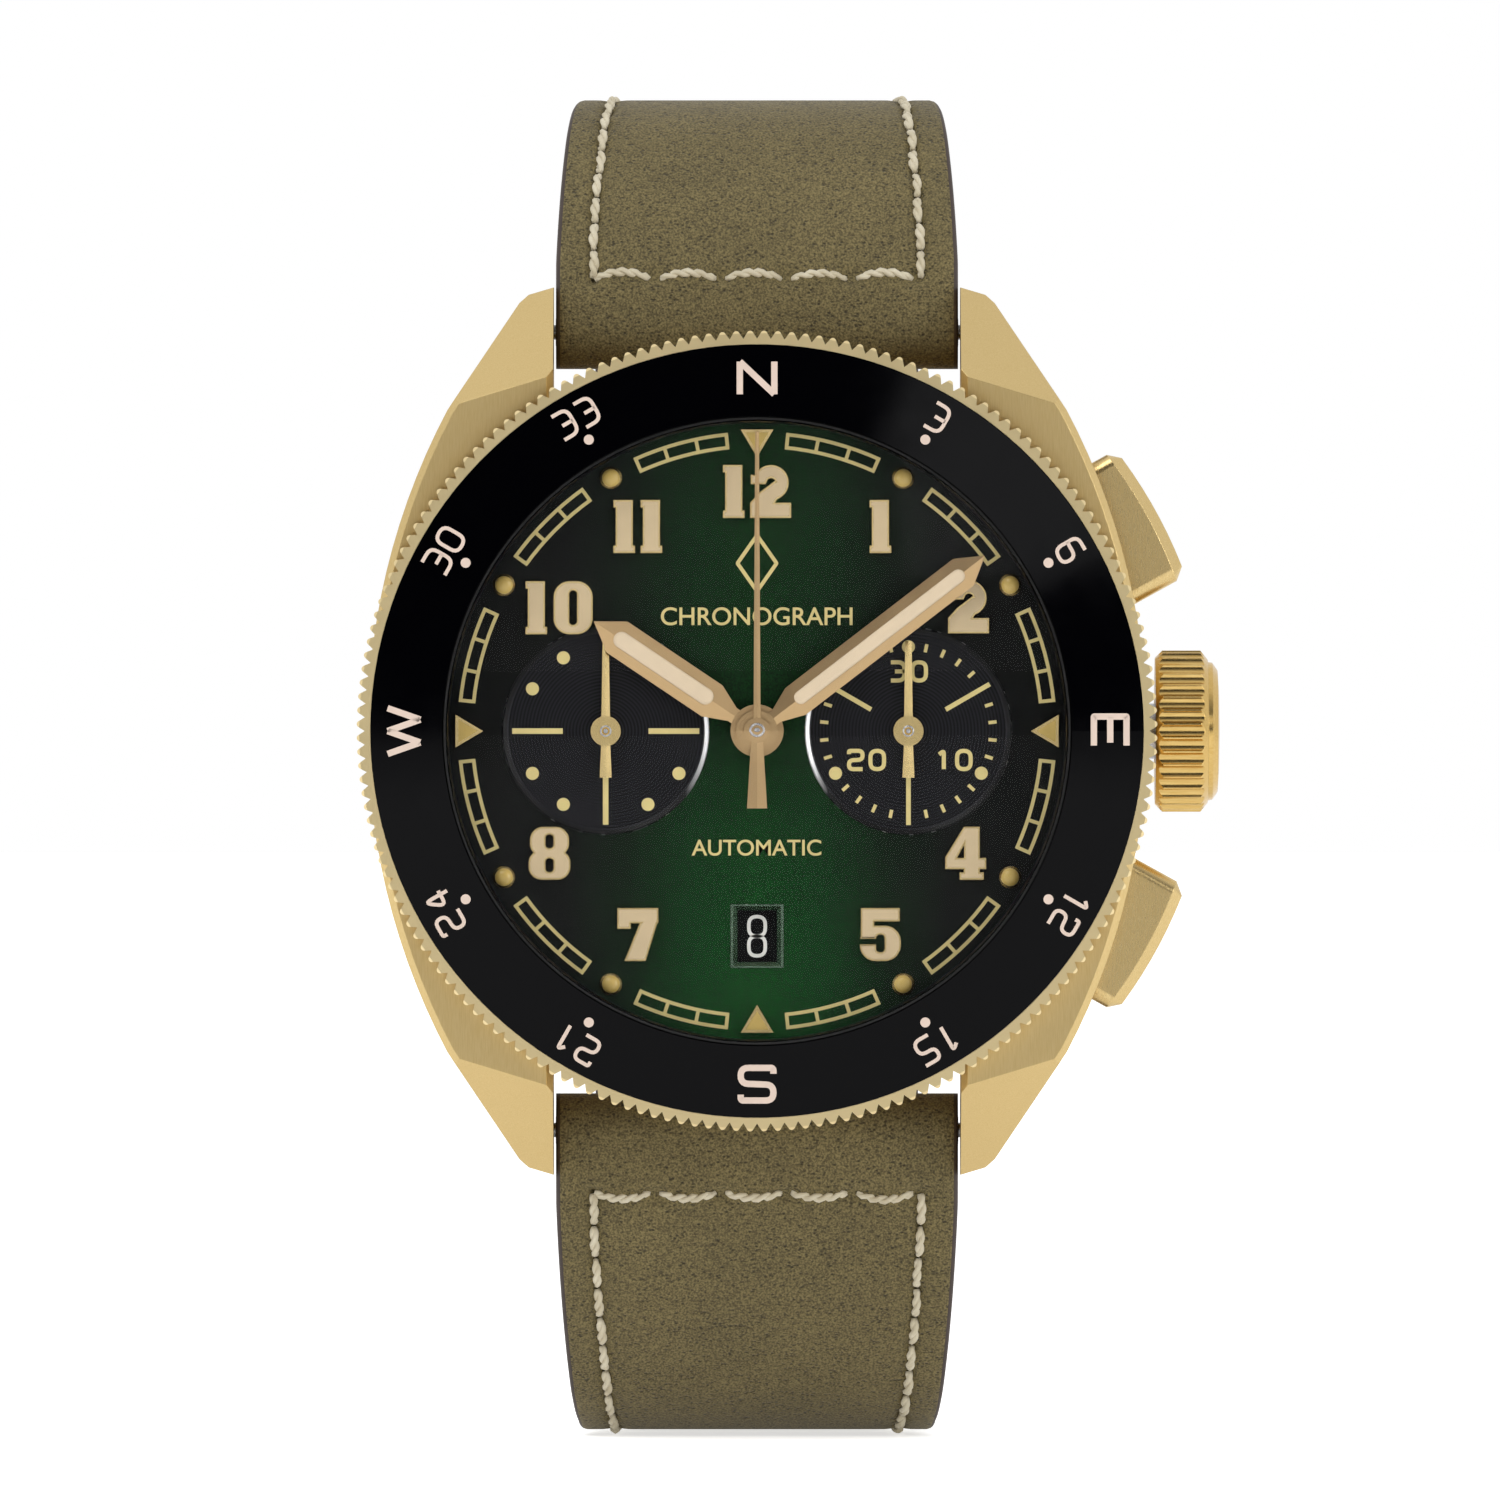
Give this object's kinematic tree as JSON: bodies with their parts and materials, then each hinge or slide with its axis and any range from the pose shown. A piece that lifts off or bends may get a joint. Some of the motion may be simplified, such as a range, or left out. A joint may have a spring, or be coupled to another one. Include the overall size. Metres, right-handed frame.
{
  "type": "dive watch",
  "caption": "Round diver's chronograph with a turning compass bezel, crown, two pushers, dial hands and registers, automatic movement and a buckled leather strap.",
  "frame": {"origin": "on the axis of the centre hands, in the plane of the flat ring of the case back", "axes": "-Y out of the dial, +Y out of the case back, +Z towards 12 o'clock, +X towards the crown at 3 o'clock"},
  "size_m": [0.0465, 0.0613, 0.0725],
  "materials": {
    "case_bronze": "satin brushed bronze-coloured metal",
    "trim_gold": "polished pale gold",
    "steel": "fine brushed",
    "rhodium_plate": "striped plating",
    "brass_wheel": "satin",
    "spring_steel": "blued",
    "sapphire": "clear, polished",
    "ruby": "clear red",
    "ceramic_black": "glossy",
    "dial_green": "fine grained, dark towards the sides",
    "register_black": "fine rings",
    "lume_cream": "matt luminous fill",
    "flange_black": "satin",
    "date_black": "matt",
    "seal_black": "matt",
    "leather_olive": "napped"
  },
  "bodies": {
    "case": {"mid_case": "case_bronze", "case_back": "case_bronze", "case_back_glass": "sapphire", "case_gaskets": "seal_black", "crystal": "sapphire", "dial_flange": "flange_black", "movement_holder": "steel", "crown_tube": "steel", "pusher_tubes": "steel", "dial_plate": "dial_green", "applied_numerals": "lume_cream", "hour_markers": "trim_gold", "subdial_discs": "register_black", "date_window_frame": "register_black", "mainplate": "rhodium_plate", "barrel_bridge": "rhodium_plate", "train_bridge": "rhodium_plate", "balance_cock": "rhodium_plate", "automatic_bridge": "rhodium_plate", "jewels": "ruby", "bridge_screws": "spring_steel", "pusher_start_spring": "steel", "pusher_reset_spring": "steel", "strap_upper": "leather_olive", "strap_lower": "leather_olive", "spring_bars": "steel", "buckle_frame": "case_bronze", "fixed_keeper": "leather_olive"},
    "bezel": {"bezel_ring": "case_bronze", "bezel_insert": "ceramic_black", "bezel_wire": "steel"},
    "tongue": {"buckle_tongue": "case_bronze"},
    "chrono_seconds": {"chrono_runner": "brass_wheel", "chrono_seconds_hand": "trim_gold"},
    "counter_idler_wheel": {"counter_idler": "brass_wheel"},
    "minute_counter": {"minute_counter_wheel": "brass_wheel", "minute_counter_hand": "trim_gold"},
    "crown_seal": {"crown_gasket": "seal_black"},
    "crown_and_stem": {"crown": "case_bronze", "winding_stem": "steel"},
    "date": {"date_disc": "date_black"},
    "minute_hand_group": {"centre_wheel": "brass_wheel", "cannon_pinion": "steel", "minute_hand": "trim_gold"},
    "hour_hand_group": {"hour_wheel": "brass_wheel", "hour_hand": "trim_gold"},
    "minute_wheel_group": {"minute_wheel": "brass_wheel"},
    "barrel_drum": {"barrel": "brass_wheel", "mainspring": "spring_steel"},
    "third_wheel_group": {"third_wheel": "brass_wheel"},
    "small_seconds": {"fourth_wheel": "brass_wheel", "small_seconds_hand": "trim_gold"},
    "keeper": {"loose_keeper": "leather_olive"},
    "start_pusher": {"pusher_start": "case_bronze"},
    "reset_pusher": {"pusher_reset": "case_bronze"},
    "winding_rotor": {"rotor": "case_bronze"},
    "balance": {"balance_wheel": "trim_gold", "hairspring": "spring_steel"},
    "escape": {"escape_wheel": "steel"},
    "pallets": {"pallet_fork": "steel"}
  },
  "joints": [
    {"name": "bezel_turn", "type": "hinge", "parent": "case", "child": "bezel", "pos_m": [0, -0.0105, 0], "axis": [0, 1, 0], "continuous": true},
    {"name": "buckle_tongue_tilt", "type": "hinge", "parent": "case", "child": "tongue", "pos_m": [0, 0.04003, 0.002], "axis": [1, 0, 0], "range_deg": [0, 20]},
    {"name": "chrono_seconds_turn", "type": "hinge", "parent": "case", "child": "chrono_seconds", "pos_m": [0, -0.0114, 0], "axis": [0, 1, 0], "continuous": true},
    {"name": "crown_pull", "type": "slide", "parent": "case", "child": "crown_seal", "axis": [1, 0, 0], "range_m": [0, 0.0012]},
    {"name": "crown_turn", "type": "hinge", "parent": "crown_seal", "child": "crown_and_stem", "pos_m": [0.0215, -0.0056, 0], "axis": [1, 0, 0], "continuous": true},
    {"name": "date_disc_turn", "type": "hinge", "parent": "case", "child": "date", "pos_m": [0, -0.0088, 0], "axis": [0, 1, 0], "continuous": true},
    {"name": "minute_hand_turn", "type": "hinge", "parent": "case", "child": "minute_hand_group", "pos_m": [0, -0.0109, 0], "axis": [0, 1, 0], "continuous": true},
    {"name": "keeper_slide", "type": "slide", "parent": "case", "child": "keeper", "axis": [0, 0, 1], "range_m": [-0.0015, 0.0015]},
    {"name": "pusher_reset_press", "type": "slide", "parent": "case", "child": "reset_pusher", "axis": [-0.8746, 0, 0.4848], "range_m": [0, 0.0009], "stiffness_N_per_m": 800, "springref_m": -0.0015, "deforming": ["pusher_reset_spring"]},
    {"name": "pusher_start_press", "type": "slide", "parent": "case", "child": "start_pusher", "axis": [-0.8746, 0, -0.4848], "range_m": [0, 0.0009], "stiffness_N_per_m": 800, "springref_m": -0.0015, "deforming": ["pusher_start_spring"]},
    {"name": "rotor_spin", "type": "hinge", "parent": "case", "child": "winding_rotor", "pos_m": [0, -0.0022, 0], "axis": [0, 1, 0], "continuous": true},
    {"name": "works_balance_swing", "type": "hinge", "parent": "case", "child": "balance", "pos_m": [-0.00527, -0.0054, -0.00929], "axis": [0, 1, 0], "range_deg": [-270, 270], "stiffness_Nm_per_rad": 0.0000001},
    {"name": "works_escape_turn", "type": "hinge", "parent": "case", "child": "escape", "pos_m": [-0.00932, -0.006, -0.00446], "axis": [0, 1, 0], "continuous": true},
    {"name": "works_pallet_rock", "type": "hinge", "parent": "case", "child": "pallets", "pos_m": [-0.00755, -0.006, -0.00657], "axis": [0, 1, 0], "range_deg": [-5, 5]},
    {"name": "hour_hand_turn", "type": "hinge", "parent": "case", "child": "hour_hand_group", "pos_m": [0, -0.0104, 0], "axis": [0, 1, 0], "continuous": true},
    {"name": "minute_counter_turn", "type": "hinge", "parent": "case", "child": "minute_counter", "pos_m": [0.00812, -0.0099, 0], "axis": [0, 1, 0], "continuous": true},
    {"name": "small_seconds_turn", "type": "hinge", "parent": "case", "child": "small_seconds", "pos_m": [-0.00812, -0.0099, 0], "axis": [0, 1, 0], "continuous": true},
    {"name": "train_barrel_turn", "type": "hinge", "parent": "case", "child": "barrel_drum", "pos_m": [0.00266, -0.005, 0.00571], "axis": [0, 1, 0], "continuous": true},
    {"name": "train_counter_idler_turn", "type": "hinge", "parent": "case", "child": "counter_idler_wheel", "pos_m": [0.0044, -0.0032, -0.0026], "axis": [0, 1, 0], "continuous": true},
    {"name": "train_minute_wheel_turn", "type": "hinge", "parent": "case", "child": "minute_wheel_group", "pos_m": [0, -0.0084, -0.00336], "axis": [0, 1, 0], "continuous": true},
    {"name": "train_third_turn", "type": "hinge", "parent": "case", "child": "third_wheel_group", "pos_m": [-0.00425, -0.0061, 0.00333], "axis": [0, 1, 0], "continuous": true}
  ],
  "couplings": [
    {"joint": "hour_hand_turn", "follows": "minute_hand_turn", "ratio": 0.083333},
    {"joint": "train_minute_wheel_turn", "follows": "minute_hand_turn", "ratio": -0.33333},
    {"joint": "train_barrel_turn", "follows": "minute_hand_turn", "ratio": -0.15385},
    {"joint": "train_third_turn", "follows": "minute_hand_turn", "ratio": -8},
    {"joint": "small_seconds_turn", "follows": "minute_hand_turn", "ratio": 60},
    {"joint": "minute_counter_turn", "follows": "chrono_seconds_turn", "ratio": 0.033333},
    {"joint": "train_counter_idler_turn", "follows": "chrono_seconds_turn", "ratio": -0.033333}
  ]
}
